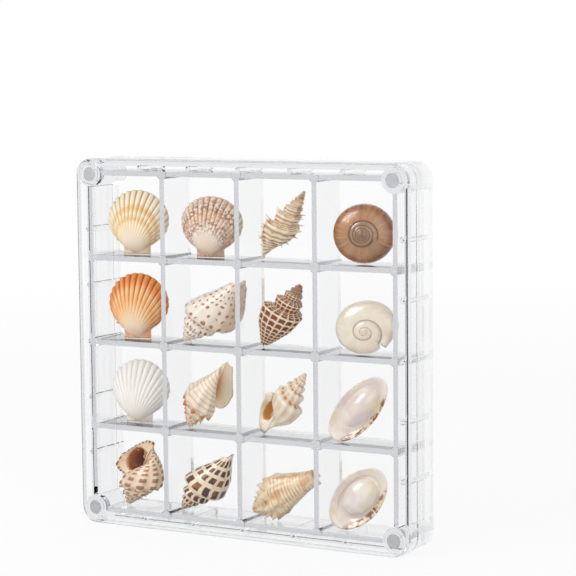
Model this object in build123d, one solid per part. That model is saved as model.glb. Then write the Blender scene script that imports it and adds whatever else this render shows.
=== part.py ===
from build123d import *
import os
from dataclasses import dataclass
from math import atan2, cos, degrees, pi, radians, sin, sqrt

# A clear display case that stands on its lower edge, with a shell in every cell.
# Millimetres. X runs across the front, Y from front to back, Z up. The origin is the centre of the base.

# ---------------------------------------------------------------- driving dimensions: the grid
ROWS = 4
COLUMNS = 4
CELL_PITCH = 48.4
GRID_DEPTH = 27.2
WALL_FRONT = 3.0
WALL_BACK = 3.6
RIM_WALL = 2.8
POST_DIAMETER = 6.2
POST_SIDES = 24
POST_PROUD = 0.6

# ---------------------------------------------------------------- driving dimensions: cover and tray
WINDOW = 2.2
BACK_PANEL = 2.2
CORNER_RADIUS = 10.0
EDGE_ROUND = 1.2
EDGE_BREAK = 0.8
SEAM_CHAMFER = 0.4
SEAM_DEPTH = 13.2
SKIRT_WALL = 2.4
TRAY_WALL = 4.2
CHANNEL = 2.7
TONGUE_HEIGHT = 6.0
BOSS_DIAMETER = 14.0
BOSS_INSET = 9.0
BOSS_MEETING_DEPTH = 4.6
PIPS_PER_SIDE = 5
PIP_DIAMETER = 3.2
PIP_SIDES = 12
PIP_FRONT_DEPTH = 5.0

# ---------------------------------------------------------------- driving dimensions: magnets
MAGNET_DIAMETER = 8.0
MAGNET_LENGTH = 3.0
MAGNET_SKIN = 1.0
MAGNET_COVERED = 0.6
POCKET_CLEARANCE = 0.05

# ---------------------------------------------------------------- clearances
COVER_GAP = 0.3
SEAM_GAP = 0.2
TONGUE_GAP = 0.3
GRID_SEAT = 0.1
PIP_GAP = 0.1
BOSS_NOTCH = 0.3
SHELL_SEAT = 0.15

# ---------------------------------------------------------------- shells
SHELL_TURN = 12.0
SHELL_WALL = 1.6
ROUND_SIDES = 20
FAN_SPREAD = 112.0
FAN_FRONT_STEPS = (0.12, 0.34, 0.6, 0.82, 1)
FAN_BACK_STEPS = (1, 0.6, 0.12)
FAN_PEAK = 0.6
FAN_FULLNESS = 0.75
RIB_GROOVE = 1.3
RIB_NOTCH = 0.025
EAR_THICKNESS = 1.6
EAR_LEAN = 0.8
WHORLS = 3
WHORL_RATIO = 0.62
APEX_RADIUS = 0.5
LOWER_BODY = 0.86
LIP_START = 0.8
SPINE_SIDES = 4
SPINE_TAPER = 6.0
MOON_WHORLS = 3
MOON_RATIO = 0.47
PEARL_SUNK = 1.0


@dataclass
class Place:
    """Where a shell stands: its cell, rows counted from the top, and its offset from the cell's middle."""

    row: int
    column: int
    across: float = 0.0
    depth: float = 14.5


@dataclass
class Fan:
    """A scallop's valve, hinge down."""

    place: Place
    width: float
    height: float
    bulge: float = 10.5
    widest: float = 20.0
    ear_width: float = 16.0
    ear_height: float = 6.5
    ribs: int = 13


@dataclass
class Spines:
    """Two rows of thin spines on the body whorl of a coiled shell."""

    radius: float
    length: float


@dataclass
class Mouth:
    """The hollow in the opening of a coiled shell that lies on its back."""

    width: float
    length: float
    depth: float
    across: float
    middle: float


@dataclass
class Coil:
    """A coiled shell, canal to apex, with the lean of its apex and the way its opening faces."""

    place: Place
    length: float
    radius: float
    lean: float
    shoulder: float = 0.42
    spire: float = 0.5
    canal_radius: float = 2.0
    ribs: int = 10
    flute: float = 0.0
    knob: float = 0.0
    flare: float = 0.0
    opening: float = 180.0
    hand: int = 1
    spines: Spines | None = None
    mouth: Mouth | None = None


@dataclass
class Moon:
    """A moon snail seen on its apex, swelling out towards its mouth."""

    place: Place
    radius: float
    body_depth: float
    spire_rise: float
    swell: float


@dataclass
class Bowl:
    """An oval half shell with a pearl grown on its inner face."""

    place: Place
    length: float
    width: float
    depth: float
    lean: float
    pearl_length: float
    pearl_width: float
    pearl_rise: float


SCALLOPS = {
    "cream_scallop": Fan(Place(1, 1, across=-1.7), width=35.8, height=36.5, ribs=22),
    "speckled_scallop": Fan(Place(1, 2, across=-1.1), width=35.2, height=34.0, ear_width=17.0, ribs=22),
    "orange_scallop": Fan(Place(2, 1, across=-2.2), width=35.4, height=37.4),
    "white_scallop": Fan(Place(3, 1, across=-1.9), width=34.3, height=35.9),
}
COILED = {
    "spiny_murex": Coil(
        Place(1, 3, across=-2.6), length=44.2, radius=8.5, lean=33.0, ribs=8, flute=0.12,
        spines=Spines(radius=0.9, length=4.2),
    ),
    "spotted_conch": Coil(
        Place(2, 2, across=0.4), length=45.0, radius=13.8, lean=222.0, shoulder=0.52, spire=0.38, flare=0.9
    ),
    "reticulated_whelk": Coil(
        Place(2, 3, across=-3.4), length=41.6, radius=11.8, lean=34.0, ribs=12, flute=0.06
    ),
    "peach_lipped_conch": Coil(
        Place(3, 2, across=-2.9), length=44.0, radius=10.8, lean=212.0, shoulder=0.55, spire=0.36, ribs=9,
        flute=0.04, knob=1.3, flare=0.4,
    ),
    "spindle_whelk": Coil(
        Place(3, 3, across=-2.2), length=43.0, radius=10.6, lean=37.0, shoulder=0.4, spire=0.52,
        flute=0.09, knob=0.5, flare=0.15, hand=-1,
        mouth=Mouth(width=4.6, length=12.4, depth=4.0, across=-8.0, middle=12.5),
    ),
    "open_murex": Coil(
        Place(4, 1, across=-1.0), length=39.8, radius=10.6, lean=199.0, shoulder=0.56, spire=0.38, ribs=9,
        flute=0.06, knob=1.7, flare=0.7, opening=0.0,
        mouth=Mouth(width=8.0, length=19.0, depth=5.0, across=11.0, middle=17.0),
    ),
    "chocolate_volute": Coil(
        Place(4, 2, across=-4.8), length=45.0, radius=12.7, lean=223.0, shoulder=0.5, spire=0.42, flare=0.4
    ),
    "knobbed_conch": Coil(
        Place(4, 3, across=-1.3), length=46.0, radius=11.8, lean=240.0, shoulder=0.6, spire=0.34, ribs=9,
        flute=0.04, knob=1.5, canal_radius=4.5, flare=0.25, opening=0.0, hand=-1,
    ),
}
MOONS = {
    "brown_moon_snail": Moon(Place(1, 4, across=-0.2), radius=16.2, body_depth=21.0, spire_rise=4.0, swell=0.6),
    "pearl_moon_snail": Moon(
        Place(2, 4, across=1.6), radius=14.5, body_depth=20.0, spire_rise=3.5, swell=4.4
    ),
}
BOWLS = {
    "blister_pearl_upper": Bowl(
        Place(3, 4, across=-3.2), length=44.3, width=22.0, depth=8.0, lean=41.0,
        pearl_length=22.0, pearl_width=12.0, pearl_rise=6.0,
    ),
    "blister_pearl_lower": Bowl(
        Place(4, 4, across=-3.5), length=41.0, width=25.4, depth=8.0, lean=41.0,
        pearl_length=22.0, pearl_width=14.0, pearl_rise=6.0,
    ),
}

# ---------------------------------------------------------------- worked out from the above
GRID_HALF_X = COLUMNS * CELL_PITCH / 2 - WALL_FRONT / 2 + RIM_WALL
GRID_HALF_Z = ROWS * CELL_PITCH / 2 - WALL_FRONT / 2 + RIM_WALL
TRAY_INNER_X = GRID_HALF_X + CHANNEL
TRAY_INNER_Z = GRID_HALF_Z + CHANNEL
HALF_WIDTH = TRAY_INNER_X + TRAY_WALL
HALF_HEIGHT = TRAY_INNER_Z + TRAY_WALL
POST_FRONT_DEPTH = WINDOW + COVER_GAP
GRID_FRONT_DEPTH = POST_FRONT_DEPTH + POST_PROUD
GRID_BACK_DEPTH = POST_FRONT_DEPTH + GRID_DEPTH
PANEL_FACE_DEPTH = GRID_BACK_DEPTH + GRID_SEAT
CASE_DEPTH = PANEL_FACE_DEPTH + BACK_PANEL
TRAY_SEAM_DEPTH = SEAM_DEPTH + SEAM_GAP
TRAY_BOSS_DEPTH = BOSS_MEETING_DEPTH + COVER_GAP
POCKET_RADIUS = MAGNET_DIAMETER / 2 + POCKET_CLEARANCE
TRAY_POCKET_DEPTH = TRAY_BOSS_DEPTH + MAGNET_COVERED + MAGNET_LENGTH
BOSS_X = HALF_WIDTH - BOSS_INSET
BOSS_Z = HALF_HEIGHT - BOSS_INSET
CORNER_NAMES = {"top_left": (-1, 1), "top_right": (1, 1), "bottom_left": (-1, -1), "bottom_right": (1, -1)}


def facing(depth):
    """The plane at a depth behind the front face, centred on the case and facing the front."""
    return Plane(origin=(0, depth - CASE_DEPTH / 2, HALF_HEIGHT), x_dir=(1, 0, 0), z_dir=(0, -1, 0))


def plate(sketch, front, back):
    """A sketch drawn on the front view, solid from one depth to another."""
    return extrude(facing(back) * sketch, amount=back - front)


def outline(inset):
    """The case's rounded outline, moved inwards."""
    width = 2 * (HALF_WIDTH - inset)
    height = 2 * (HALF_HEIGHT - inset)
    return RectangleRounded(width, height, CORNER_RADIUS - inset)


def corner_places():
    """Where the four magnets lie on the front view."""
    return [(side * BOSS_X, rise * BOSS_Z) for side, rise in CORNER_NAMES.values()]


def corner_discs(radius):
    """Four equal discs on the magnets' centres."""
    return Sketch() + [Pos(x, z) * Circle(radius) for x, z in corner_places()]


def outer_edges(solid, depth):
    """The edges of the case's outline at one depth."""
    level = depth - CASE_DEPTH / 2
    reach = HALF_WIDTH - CORNER_RADIUS
    edges = solid.edges().filter_by_position(Axis.Y, level - 0.01, level + 0.01)
    return [e for e in edges if max(abs(e.center().X), abs(e.center().Z - HALF_HEIGHT)) > reach]


def front_cover():
    """Window, skirt and four blind magnet bosses."""
    body = plate(outline(0), 0, SEAM_DEPTH)
    body = fillet(outer_edges(body, 0), EDGE_ROUND)
    body = chamfer(outer_edges(body, SEAM_DEPTH), SEAM_CHAMFER)
    body -= plate(outline(SKIRT_WALL), WINDOW, SEAM_DEPTH)
    body += plate(corner_discs(BOSS_DIAMETER / 2), WINDOW, BOSS_MEETING_DEPTH)
    return body - plate(corner_discs(POCKET_RADIUS), MAGNET_SKIN, BOSS_MEETING_DEPTH)


def pip_places():
    """Where the locating pips lie: evenly along each side, half sunk in the tray's inner wall."""
    reach = PIP_DIAMETER / 2 + PIP_GAP
    places = []
    for index in range(1, PIPS_PER_SIDE + 1):
        along = index / (PIPS_PER_SIDE + 1) - 0.5
        x = along * COLUMNS * CELL_PITCH
        z = along * ROWS * CELL_PITCH
        places += [(x, GRID_HALF_Z + reach), (x, -GRID_HALF_Z - reach)]
        places += [(GRID_HALF_X + reach, z), (-GRID_HALF_X - reach, z)]
    return places


def back_tray():
    """Back panel, outer wall, tongue, magnet bosses and locating pips."""
    body = plate(outline(0), TRAY_SEAM_DEPTH, CASE_DEPTH)
    body = chamfer(outer_edges(body, CASE_DEPTH), EDGE_BREAK)
    body = chamfer(outer_edges(body, TRAY_SEAM_DEPTH), SEAM_CHAMFER)
    tongue = outline(SKIRT_WALL + TONGUE_GAP)
    body += plate(tongue, TRAY_SEAM_DEPTH - TONGUE_HEIGHT, TRAY_SEAM_DEPTH)
    body -= plate(outline(TRAY_WALL), 0, PANEL_FACE_DEPTH)
    bosses = corner_discs(BOSS_DIAMETER / 2) & tongue
    body += plate(bosses, TRAY_BOSS_DEPTH, PANEL_FACE_DEPTH)
    body -= plate(corner_discs(POCKET_RADIUS), TRAY_BOSS_DEPTH, TRAY_POCKET_DEPTH)
    pips = Sketch() + [Pos(x, z) * RegularPolygon(PIP_DIAMETER / 2, PIP_SIDES) for x, z in pip_places()]
    return body + plate(pips, PIP_FRONT_DEPTH, PANEL_FACE_DEPTH)


def cell_centre(row, column):
    """The middle of a cell on the front view, rows counted from the top."""
    x = (column - (COLUMNS + 1) / 2) * CELL_PITCH
    z = ((ROWS + 1) / 2 - row) * CELL_PITCH
    return x, z


def cell_pocket():
    """The space of one cell: wider at the front, so that the moulding leaves its tool."""
    front = Rectangle(CELL_PITCH - WALL_FRONT, CELL_PITCH - WALL_FRONT)
    back = Rectangle(CELL_PITCH - WALL_BACK, CELL_PITCH - WALL_BACK)
    return loft([facing(GRID_BACK_DEPTH) * back, facing(GRID_FRONT_DEPTH) * front])


def post_places():
    """Every crossing and wall end, without the four corners, where the magnet bosses stand."""
    places = []
    for column in range(COLUMNS + 1):
        for row in range(ROWS + 1):
            corner = column in (0, COLUMNS) and row in (0, ROWS)
            if not corner:
                places.append(((column - COLUMNS / 2) * CELL_PITCH, (ROWS / 2 - row) * CELL_PITCH))
    return places


def divider_grid():
    """Drafted walls round every cell, with a round post at each crossing."""
    body = plate(Rectangle(2 * GRID_HALF_X, 2 * GRID_HALF_Z), GRID_FRONT_DEPTH, GRID_BACK_DEPTH)
    pocket = cell_pocket()
    for row in range(1, ROWS + 1):
        for column in range(1, COLUMNS + 1):
            x, z = cell_centre(row, column)
            body -= Pos(x, 0, z) * pocket
    post = plate(RegularPolygon(POST_DIAMETER / 2, POST_SIDES), POST_FRONT_DEPTH, GRID_BACK_DEPTH)
    body += [Pos(x, 0, z) * post for x, z in post_places()]
    body &= plate(Rectangle(2 * GRID_HALF_X, 2 * GRID_HALF_Z), 0, CASE_DEPTH)
    return body - plate(corner_discs(BOSS_DIAMETER / 2 + BOSS_NOTCH), 0, CASE_DEPTH)


def magnet(side, rise, front):
    """One disc magnet with its front face at a depth."""
    disc = Pos(side * BOSS_X, rise * BOSS_Z) * Circle(MAGNET_DIAMETER / 2)
    return plate(disc, front, front + MAGNET_LENGTH)


def flat(*corners):
    """A flat face with straight edges."""
    return Face(Wire.make_polygon(corners))


def strip(here, there):
    """Flat faces from one row of points to the next."""
    faces = []
    for a, b, c, d in zip(here, here[1:], there[1:], there):
        faces += [flat(a, b, c), flat(a, c, d)]
    return faces


def skin(rings):
    """A solid of flat faces laid over a row of rings, with a flat face at each end."""
    faces = [flat(*rings[0]), flat(*rings[-1])]
    for here, there in zip(rings, rings[1:]):
        faces += strip(here + here[:1], there + there[:1])
    return Solid(Shell(faces))


def oval(width, length, level, shift=0.0):
    """A ring of points round an oval at a level."""
    turns = [2 * pi * index / ROUND_SIDES for index in range(ROUND_SIDES)]
    return [(shift + width * cos(turn), length * sin(turn), level) for turn in turns]


def fan_point(fan, across, growth, crest, inset):
    """A point on a valve: rays fan out from the hinge to the margin over a domed face."""
    turn = radians(across * FAN_SPREAD)
    top = fan.height - fan.widest if cos(turn) > 0 else fan.widest - fan.ear_height
    hinge = fan.ear_height / 2
    reach = growth * (1 - RIB_NOTCH * (1 - crest) * growth)
    x = reach * fan.width / 2 * sin(turn)
    z = hinge + reach * (fan.widest + top * cos(turn) - hinge)
    dome = fan.bulge * sqrt(1 - across**2) * max(0, sin(pi * growth**FAN_PEAK)) ** FAN_FULLNESS
    groove = RIB_GROOVE * growth * (1 - crest) * (1 - abs(across))
    return x, groove + inset - dome, z


def scallop(fan):
    """A ribbed valve, hollow behind, with two flat ears beside its hinge."""
    rings = []
    for index in range(2 * fan.ribs + 1):
        across = index / fan.ribs - 1
        crest = index % 2
        front = [fan_point(fan, across, growth, crest, 0) for growth in FAN_FRONT_STEPS]
        back = [fan_point(fan, across, growth, 1, SHELL_WALL) for growth in FAN_BACK_STEPS]
        rings.append(front + back)
    foot, head = fan.ear_width / 2, EAR_LEAN * fan.ear_width / 2
    ears = Polyline((-foot, 0), (foot, 0), (head, fan.ear_height), (-head, fan.ear_height), close=True)
    return skin(rings) + extrude(Plane.XZ.offset(-EAR_THICKNESS) * make_face(ears), EAR_THICKNESS)


def whorl_side(shell, share, crest):
    """One side of a coiled shell at a share of its last turn: canal, then shoulders and sutures."""
    crown = shell.length * (1 - shell.shoulder)
    rise = shell.length * shell.spire
    lip = 1 + shell.flare * max(0, share - LIP_START) / (1 - LIP_START)
    points = [(shell.canal_radius, 0)]
    for whorl in range(WHORLS):
        size = WHORL_RATIO ** (whorl + 1 - share)
        radius = size * (shell.radius * (1 + shell.flute * crest) + shell.knob * crest)
        level = shell.length - crown * size
        if whorl == 0:
            points.append((LOWER_BODY * radius * lip, level / 2))
        points.append((radius if whorl else radius * lip, level))
        points.append((WHORL_RATIO * radius, shell.length - rise * size))
    return points[:-1] + [(APEX_RADIUS, shell.length)]


def coil_columns(shell):
    """The outlines round one full turn of a coiled shell, each in its place."""
    steps = 2 * shell.ribs
    columns = []
    for step in range(steps + 1):
        turn = radians(shell.opening - shell.hand * 360 * step / steps)
        side = whorl_side(shell, step / steps, 1 - step % 2)
        columns.append([(reach * cos(turn), reach * sin(turn), level) for reach, level in side])
    return columns


def coiled(shell):
    """A coiled shell standing on its canal: whorls that grow round the axis and end at a lip."""
    columns = coil_columns(shell)
    start, end = columns[0], columns[-1]
    faces = [flat(*end[:5], start[1]), flat(*start[-4:])]
    for here, there in zip(columns, columns[1:]):
        faces += strip(here, there)
    faces += [flat(*[column[0] for column in columns[1:]]), flat(*[column[-1] for column in columns[1:]])]
    body = Solid(Shell(faces))
    if shell.spines:
        body += spikes(shell, columns)
    if shell.mouth:
        mouth = shell.mouth
        opening = scale(RegularPolygon(1, ROUND_SIDES), by=(mouth.width / 2, mouth.length / 2, 1))
        face = Plane.XZ.offset(-mouth.depth) * Pos(mouth.across, mouth.middle) * opening
        body -= extrude(face, shell.radius + mouth.depth)
    return body


def spikes(shell, columns):
    """Thin spines on the crests of the body whorl, one row on its shoulder and one below."""
    spines = shell.spines
    sunk = 2 * spines.radius
    spike = extrude(RegularPolygon(spines.radius, SPINE_SIDES), spines.length + sunk, taper=SPINE_TAPER)
    made = []
    for column in columns[2::2]:
        for x, y, level in column[1:3]:
            outwards = Rot(0, 0, degrees(atan2(y, x))) * Pos(sqrt(x**2 + y**2) - sunk, 0, level)
            made.append(outwards * Rot(0, 90, 0) * spike)
    return made


def moon_snail(shell):
    """A low stepped spire on a round body that swells out to one side."""
    half = (shell.body_depth - shell.spire_rise) / 2
    rings = []
    for angle in (-65, -30, 5, 45):
        size = shell.radius * cos(radians(angle))
        swell = shell.swell / 2 * cos(radians(angle))
        rings.append(oval(size + swell, size, half * (sin(radians(angle)) - 1), swell))
    for whorl in range(MOON_WHORLS):
        size = shell.radius * MOON_RATIO ** (whorl + 1)
        low, high = [shell.spire_rise * (1 - MOON_RATIO**turn) for turn in (whorl, whorl + 0.8)]
        rings += [oval(size, size, low), oval(0.9 * size, 0.9 * size, high)]
    return Rot(90, 0, 0) * skin(rings)


def half_shell(shell):
    """An oval bowl that opens to the front, with a domed pearl inside."""
    width, length = shell.width / 2, shell.length / 2
    floor = shell.depth - SHELL_WALL
    rings = []
    for angle in (65, 33, 0):
        share = cos(radians(angle))
        rings.append(oval(share * width, share * length, -shell.depth * sin(radians(angle))))
    for angle in (0, 43):
        share = cos(radians(angle))
        sizes = (share * (width - SHELL_WALL), share * (length - SHELL_WALL))
        rings.append(oval(*sizes, -floor * sin(radians(angle))))
    for angle in (0, 28, 56, 80):
        share = cos(radians(angle)) / 2
        level = shell.pearl_rise * sin(radians(angle)) + PEARL_SUNK - floor
        rings.append(oval(share * shell.pearl_width, share * shell.pearl_length, level))
    return Rot(0, shell.lean, 0) * Rot(90, 0, 0) * skin(rings)


def cell_floor(depth):
    """How far a cell's floor lies below the cell's middle at a depth."""
    share = (depth - GRID_FRONT_DEPTH) / (GRID_BACK_DEPTH - GRID_FRONT_DEPTH)
    return (CELL_PITCH - WALL_FRONT - share * (WALL_BACK - WALL_FRONT)) / 2


def seated(solid, place):
    """Stood on the floor of its cell."""
    box = solid.bounding_box()
    x, z = cell_centre(place.row, place.column)
    back = place.depth + box.size.Y / 2
    floor = HALF_HEIGHT + z - cell_floor(back) + SHELL_SEAT
    y = place.depth - CASE_DEPTH / 2
    return Pos(x + place.across - box.center().X, y - box.center().Y, floor - box.min.Z) * solid


def shells():
    """Every shell in its cell, by name."""
    turn = Rot(0, 0, SHELL_TURN)
    made = {name: seated(turn * scallop(fan), fan.place) for name, fan in SCALLOPS.items()}
    for name, shell in COILED.items():
        made[name] = seated(Rot(0, shell.lean, 0) * coiled(shell), shell.place)
    made |= {name: seated(moon_snail(shell), shell.place) for name, shell in MOONS.items()}
    made |= {name: seated(turn * half_shell(shell), shell.place) for name, shell in BOWLS.items()}
    return made


def magnets():
    """A pair of magnets at each corner, one in the cover and one in the tray."""
    made = {}
    for corner, (side, rise) in CORNER_NAMES.items():
        made[f"cover_magnet_{corner}"] = magnet(side, rise, MAGNET_SKIN)
        made[f"tray_magnet_{corner}"] = magnet(side, rise, TRAY_BOSS_DEPTH + MAGNET_COVERED)
    return made


def main():
    os.makedirs("parts", exist_ok=True)
    nodes = {"front_cover": front_cover(), "back_tray": back_tray(), "divider_grid": divider_grid()}
    nodes |= magnets() | shells()
    for name, solid in nodes.items():
        solid.label = name
        export_step(solid, f"parts/{name}.step")
    print(len(nodes), "nodes, case", 2 * HALF_WIDTH, "x", CASE_DEPTH, "x", 2 * HALF_HEIGHT, "mm")


main()
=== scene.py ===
# %% [markdown]
# # A clear case of sea shells
#
# The case is two clear mouldings, a tray and a cover, with a divided insert between them and a shell in
# each of its sixteen cells. The mouldings are right as they come from the frame and only need clear
# plastic. The shells come from the frame as plain solids, so each one is modelled again here, inside the
# space its solid takes.

# %% Load the frame
from dataclasses import dataclass
from math import atan2, cos, exp, pi, radians, sin, sqrt, tau

import bmesh
import bpy
from mathutils import Matrix, Vector, noise


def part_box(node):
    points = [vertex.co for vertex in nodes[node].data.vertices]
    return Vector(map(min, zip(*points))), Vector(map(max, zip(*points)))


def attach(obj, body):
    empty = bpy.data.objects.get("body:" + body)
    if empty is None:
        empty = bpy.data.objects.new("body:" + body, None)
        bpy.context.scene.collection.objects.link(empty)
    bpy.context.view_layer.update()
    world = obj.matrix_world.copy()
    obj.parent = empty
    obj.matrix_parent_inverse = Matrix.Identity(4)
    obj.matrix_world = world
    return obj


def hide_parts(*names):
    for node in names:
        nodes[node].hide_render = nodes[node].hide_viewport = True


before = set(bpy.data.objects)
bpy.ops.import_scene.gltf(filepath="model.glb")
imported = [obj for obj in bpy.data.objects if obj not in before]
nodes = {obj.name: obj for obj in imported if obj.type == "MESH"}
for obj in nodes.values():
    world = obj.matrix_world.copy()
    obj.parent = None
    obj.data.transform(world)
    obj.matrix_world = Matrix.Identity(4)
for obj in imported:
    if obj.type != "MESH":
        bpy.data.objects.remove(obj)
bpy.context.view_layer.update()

# %% [markdown]
# ## The camera
#
# The case is seen from its right, from a little above, with a long lens, so that its upright edges stay
# nearly parallel. The camera's place and its three turns are given.

# %% Camera
CAMERA_PLACE = Vector((0.5846, -0.9892, 0.2614))
CAMERA_YAW = radians(29.53)
CAMERA_PITCH = radians(6.10)
CAMERA_ROLL = radians(-0.54)
LENS = 130.35

lens = bpy.data.cameras.new("camera")
lens.lens = LENS
camera = bpy.data.objects.new("camera", lens)
bpy.context.scene.collection.objects.link(camera)
aim = Matrix.Rotation(CAMERA_YAW, 4, "Z") @ Matrix.Rotation(pi / 2 - CAMERA_PITCH, 4, "X")
camera.matrix_world = Matrix.Translation(CAMERA_PLACE) @ aim @ Matrix.Rotation(CAMERA_ROLL, 4, "Z")
bpy.context.scene.camera = camera
print("camera", [round(c, 3) for c in camera.location])

# %% [markdown]
# ## Shader sums
#
# A shell's colour follows its growth, so most finishes are sums on a few values stored in the mesh. One
# small class lets those sums be written as sums, and one method adds every other node.


# %% Values and paint
# A screen's own curve is about 2.2. The rest makes up for the clear plastic in front, which pales colours.
COLOUR_CURVE = 2.6


def as_light(colour):
    """A colour as it should look in the case, turned into the deeper one that the surface gets."""
    return tuple(channel**COLOUR_CURVE for channel in colour)


class Value:
    """A shader socket that can be added, multiplied and compared like a number."""

    def __init__(self, paint, socket):
        self.paint = paint
        self.socket = socket

    def math(self, operation, *others):
        return self.paint.add("ShaderNodeMath", {"operation": operation}, dict(enumerate((self, *others))))

    def __add__(self, other):
        return self.math("ADD", other)

    def __radd__(self, other):
        return self.math("ADD", other)

    def __sub__(self, other):
        return self.math("SUBTRACT", other)

    def __rsub__(self, other):
        return self.paint.add("ShaderNodeMath", {"operation": "SUBTRACT"}, {0: other, 1: self})

    def __mul__(self, other):
        return self.math("MULTIPLY", other)

    def __rmul__(self, other):
        return self.math("MULTIPLY", other)

    def __truediv__(self, other):
        return self.math("DIVIDE", other)

    def __pow__(self, other):
        return self.math("POWER", other)

    def step(self, low, high):
        """0 below low, 1 above high, and smooth between."""
        settings = {"interpolation_type": "SMOOTHSTEP"}
        sockets = {"Value": self, "From Min": low, "From Max": high}
        return self.paint.add("ShaderNodeMapRange", settings, sockets)

    def wave(self, count):
        """0 to 1 and back, that many times for each unit of the value."""
        return (self * (count * tau)).math("COSINE") * 0.5 + 0.5


class Paint:
    """A material and the nodes that feed it."""

    def __init__(self, name):
        self.material = bpy.data.materials.new(name)
        self.material.use_nodes = True
        self.tree = self.material.node_tree
        self.surface = self.tree.nodes["Principled BSDF"]
        self.output = self.tree.nodes["Material Output"]

    def feed(self, socket, value):
        """Links a value to a socket, or sets it there."""
        if isinstance(value, Value):
            self.tree.links.new(value.socket, socket)
        elif isinstance(value, tuple) and len(value) == 3 and len(socket.default_value) == 4:
            socket.default_value = (*as_light(value), 1)
        else:
            socket.default_value = value

    def add(self, kind, settings=None, sockets=None, output=0):
        """Adds a node: its settings first, then the values or links of its sockets."""
        node = self.tree.nodes.new(kind)
        for key, value in (settings or {}).items():
            if key == "stops":
                self.set_stops(node.color_ramp, value)
            else:
                setattr(node, key, value)
        for key, value in (sockets or {}).items():
            self.feed(node.inputs[key], value)
        return Value(self, node.outputs[output])

    def set_stops(self, ramp, stops):
        """Gives a ramp its colours."""
        while len(ramp.elements) < len(stops):
            ramp.elements.new(1)
        for element, (position, colour) in zip(ramp.elements, stops):
            element.position = position
            element.color = (*as_light(colour), 1)

    def set(self, **sockets):
        """Sets sockets of the surface, with _ for a space in a name."""
        for name, value in sockets.items():
            self.feed(self.surface.inputs[name.replace("_", " ")], value)

    def stored(self, name):
        """A value stored in the mesh."""
        return self.add("ShaderNodeAttribute", {"attribute_name": name}, output="Fac")

    def place(self):
        """The point on the object, in metres."""
        return self.add("ShaderNodeTexCoord", output="Object")

    def noise(self, scale, detail=3, roughness=0.55, where=None, output=0):
        """Cloudy values, scale to a metre."""
        sockets = {"Scale": scale, "Detail": detail, "Roughness": roughness}
        sockets["Vector"] = where or self.place()
        return self.add("ShaderNodeTexNoise", None, sockets, output)

    def point(self, x, y, z=0.0):
        """Three values as a place."""
        return self.add("ShaderNodeCombineXYZ", None, {0: x, 1: y, 2: z})

    def blend(self, amount, low, high):
        """One colour going over to another."""
        return self.add("ShaderNodeMix", {"data_type": "RGBA"}, {0: amount, 6: low, 7: high}, 2)

    def ramp(self, value, *stops):
        """A value read as a colour."""
        return self.add("ShaderNodeValToRGB", {"stops": stops}, {0: value})

    def bump(self, height, distance, strength=0.6):
        """Relief under the surface's normal, with its depth in metres."""
        sockets = {"Height": height, "Distance": distance, "Strength": strength}
        self.feed(self.surface.inputs["Normal"], self.add("ShaderNodeBump", None, sockets))


print("paint ready")

# %% [markdown]
# ## Clear plastic
#
# The case is moulded from clear styrene. Its flat faces hardly show, and what draws it is its edges, where
# light travels a long way inside the wall and comes out grey. A refracting surface with a faint absorption
# inside does the same. Real styrene bends light more than this, by about 1.59, but then light is caught in
# the thin walls and they turn dark, so a lower value is used. The lamps have to reach the shells, so the
# plastic is plain see-through to the rays that carry light and shade.


# %% Clear plastic
CASE_TINT = (0.889, 0.893, 0.902)
CASE_DENSITY = 26
GRID_TINT = (0.863, 0.867, 0.88)
GRID_DENSITY = 44
FAINT_MIRROR = (0.5, 0.5, 0.5)


def clear_plastic(name, bend, tint, density, roughness):
    """Clear moulded plastic: how far it bends light, how grey its edges go, and how polished it is."""
    paint = Paint(name)
    haze = paint.noise(60, 2).step(0.35, 0.75) * 0.02 + roughness
    paint.set(Base_Color=(1.0, 1.0, 1.0), Roughness=haze, IOR=bend, Transmission_Weight=1.0)
    paint.set(Specular_Tint=FAINT_MIRROR)
    rays = paint.add("ShaderNodeLightPath", output="Is Shadow Ray")
    soft = paint.add("ShaderNodeLightPath", output="Is Diffuse Ray")
    through = paint.add("ShaderNodeBsdfTransparent", None, {"Color": (0.988, 0.99, 0.992)})
    plastic = Value(paint, paint.surface.outputs[0])
    mixed = paint.add("ShaderNodeMixShader", None, {0: rays.math("MAXIMUM", soft), 1: plastic, 2: through})
    paint.feed(paint.output.inputs["Surface"], mixed)
    inside = paint.add("ShaderNodeVolumeAbsorption", None, {"Color": tint, "Density": density})
    paint.feed(paint.output.inputs["Volume"], inside)
    return paint.material


def dress(material, *names):
    """Gives a material to nodes of the frame."""
    for name in names:
        nodes[name].data.materials.clear()
        nodes[name].data.materials.append(material)


dress(clear_plastic("cover_plastic", 1.31, CASE_TINT, CASE_DENSITY, 0.0), "front_cover")
dress(clear_plastic("tray_plastic", 1.31, CASE_TINT, CASE_DENSITY, 0.0), "back_tray")
dress(clear_plastic("grid_plastic", 1.3, GRID_TINT, GRID_DENSITY, 0.01), "divider_grid")
print("plastic on the cover, the tray and the grid")

# %% [markdown]
# ## Magnets
#
# A pair of nickel-plated discs sits behind each corner. They are bright metal with a faint brushed bloom.


# %% Magnets
def nickel():
    """Plated metal, a little cloudy."""
    paint = Paint("nickel")
    cloud = paint.noise(400, 4)
    paint.set(Base_Color=paint.blend(cloud, (0.84, 0.84, 0.85), (0.93, 0.93, 0.93)))
    paint.set(Metallic=0.35, Roughness=cloud * 0.15 + 0.35)
    paint.bump(cloud, 0.00005, 0.3)
    return paint.material


magnets = [name for name in nodes if "magnet" in name]
dress(nickel(), *magnets)
print(len(magnets), "magnets")

# %% [markdown]
# ## Putting a shell in its cell
#
# Every shell is grown in millimetres round its own axis, then sized to the space that its plain solid takes
# and stood on the same floor. What is left is to name it, paint it and let it ride on the case. A grid of
# squares is the start of them all: a rule bends it, and two values that say where a point lies on the
# grown shell stay in the mesh for the paint.


# %% Bending, settling and naming
HAIR = 0.00002


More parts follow.
